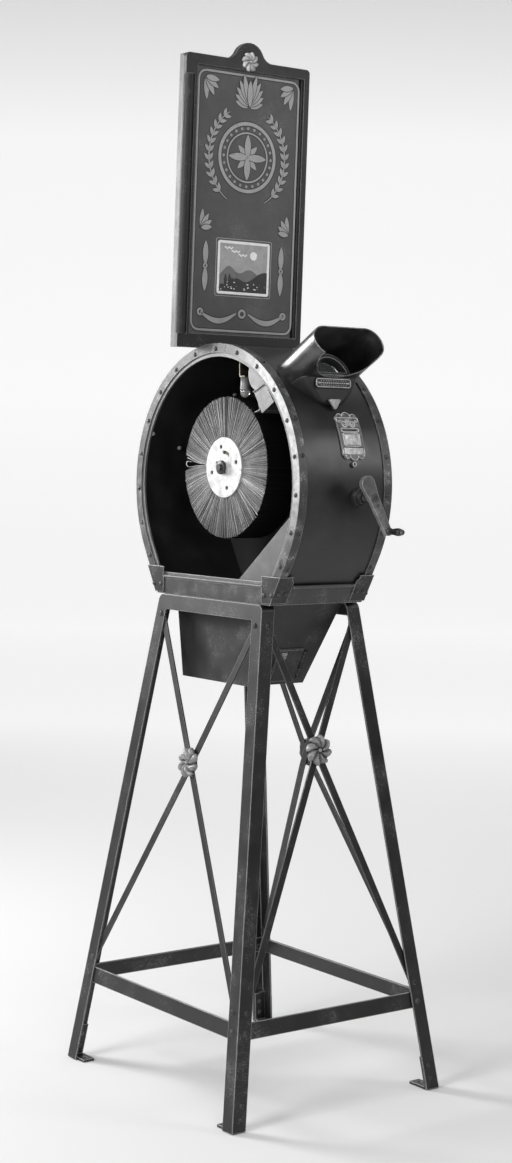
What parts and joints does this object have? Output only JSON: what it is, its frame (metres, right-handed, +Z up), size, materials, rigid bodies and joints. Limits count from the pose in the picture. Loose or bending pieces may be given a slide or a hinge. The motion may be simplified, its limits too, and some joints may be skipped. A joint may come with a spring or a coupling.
{
  "type": "mutoscope",
  "caption": "Hand-cranked coin-in-the-slot flip-card viewer: open drum casing with card reel, viewing hood and show card on a braced angle-iron stand.",
  "frame": {"origin": "floor centre of the four legs, in the middle of the four floor-bolt holes", "axes": "+Z up; the viewer stands at -Y and looks towards +Y; +X is the viewer's right, and the open side of the drum faces -X"},
  "size_m": [0.4536, 0.5928, 1.8762],
  "materials": {
    "frame_black": "satin",
    "rosette_metal": "satin",
    "sign_rosette_metal": "satin",
    "bolt_black": "satin",
    "casing_black": "gloss",
    "ring_worn": "worn satin",
    "rivet_worn": "worn",
    "bead_grey": "satin",
    "cast_black": "satin",
    "hinge_steel": "satin",
    "lock_metal": "satin",
    "eyepiece_black": "matt",
    "lens_glass": "clear",
    "badge_metal": "satin",
    "screw_steel": "satin",
    "coin_plate_metal": "polished, worn",
    "chute_tin": "bright tinned sheet",
    "lever_steel": "satin",
    "frame_casting": "painted",
    "shaft_steel": "turned, oiled",
    "crank_iron": "painted, worn",
    "grip_black": "ebonised, polished",
    "wheel_brass": "machined",
    "core_wood": "varnished",
    "hub_white_metal": "satin",
    "card_stock": "matt card",
    "bulb_glass": "clear",
    "socket_brass": "aged",
    "sign_case_black": "satin",
    "sign_print": "printed tin"
  },
  "bodies": {
    "base": {"stand_frame_left": "frame_black", "stand_frame_right": "frame_black", "strut_front": "frame_black", "strut_back": "frame_black", "strut_left": "frame_black", "strut_right": "frame_black", "straps_front": "frame_black", "straps_left": "frame_black", "straps_right": "frame_black", "brace_rosettes": "rosette_metal", "feet_left": "frame_black", "feet_right": "frame_black", "stand_fasteners": "bolt_black", "casing_floor": "casing_black", "drum_shell": "casing_black", "side_panel": "casing_black", "ring_left": "ring_worn", "ring_right": "ring_worn", "ring_rivets": "rivet_worn", "window_bead": "bead_grey", "gusset_plate": "bead_grey", "base_band": "ring_worn", "corner_brackets": "ring_worn", "bracket_bolts": "rivet_worn", "hopper": "casing_black", "door_hinge": "hinge_steel", "hood": "casing_black", "hood_base": "cast_black", "eyepiece": "eyepiece_black", "viewing_lens": "lens_glass", "name_badge": "badge_metal", "front_screws": "screw_steel", "coin_plate": "coin_plate_metal", "coin_chute": "chute_tin", "lever_bracket": "cast_black", "mechanism_frame": "frame_casting", "crank_bush": "cast_black", "lamp_bulb": "bulb_glass", "lamp_socket": "socket_brass", "view_mask": "chute_tin", "sign_case": "sign_case_black", "sign_frame": "sign_case_black", "sign_panel": "sign_print", "sign_strip": "sign_case_black", "sign_rosette": "sign_rosette_metal", "sign_brackets": "sign_case_black"},
    "crank": {"crank_shaft": "shaft_steel", "worm": "shaft_steel", "crank_arm": "crank_iron", "handle_spindle": "shaft_steel"},
    "grip": {"handle_grip": "grip_black"},
    "reel": {"reel_shaft": "shaft_steel", "worm_wheel": "wheel_brass", "reel_core": "core_wood", "hub_plate": "hub_white_metal", "card_pack": "card_stock"},
    "door": {"cash_door": "casing_black", "lock_plate": "lock_metal"},
    "lock": {"lock_plug": "lock_metal"},
    "lever": {"coin_lever": "lever_steel"}
  },
  "joints": [
    {"name": "crank_turn", "type": "hinge", "parent": "base", "child": "crank", "pos_m": [0.029, -0.3, 1.05], "axis": [0, -1, 0], "continuous": true},
    {"name": "grip_spin", "type": "hinge", "parent": "crank", "child": "grip", "pos_m": [0.06101, -0.31, 0.99297], "axis": [0, -1, 0], "continuous": true},
    {"name": "reel_spin", "type": "hinge", "parent": "base", "child": "reel", "pos_m": [0, 0, 1.097], "axis": [1, 0, 0], "continuous": true},
    {"name": "door_swing", "type": "hinge", "parent": "base", "child": "door", "pos_m": [0.027, -0.09562, 0.74697], "axis": [0, -0.4472, 0.8944], "range_deg": [0, 105]},
    {"name": "lock_turn", "type": "hinge", "parent": "door", "child": "lock", "pos_m": [-0.02, -0.10183, 0.76567], "axis": [0, 0.8944, 0.4472], "range_deg": [0, 90]},
    {"name": "coin_lever_tip", "type": "hinge", "parent": "base", "child": "lever", "pos_m": [0.001, -0.1365, 0.916], "axis": [1, 0, 0], "range_deg": [0, 20]}
  ],
  "couplings": [
    {"joint": "reel_spin", "follows": "crank_turn", "ratio": 0.025}
  ]
}
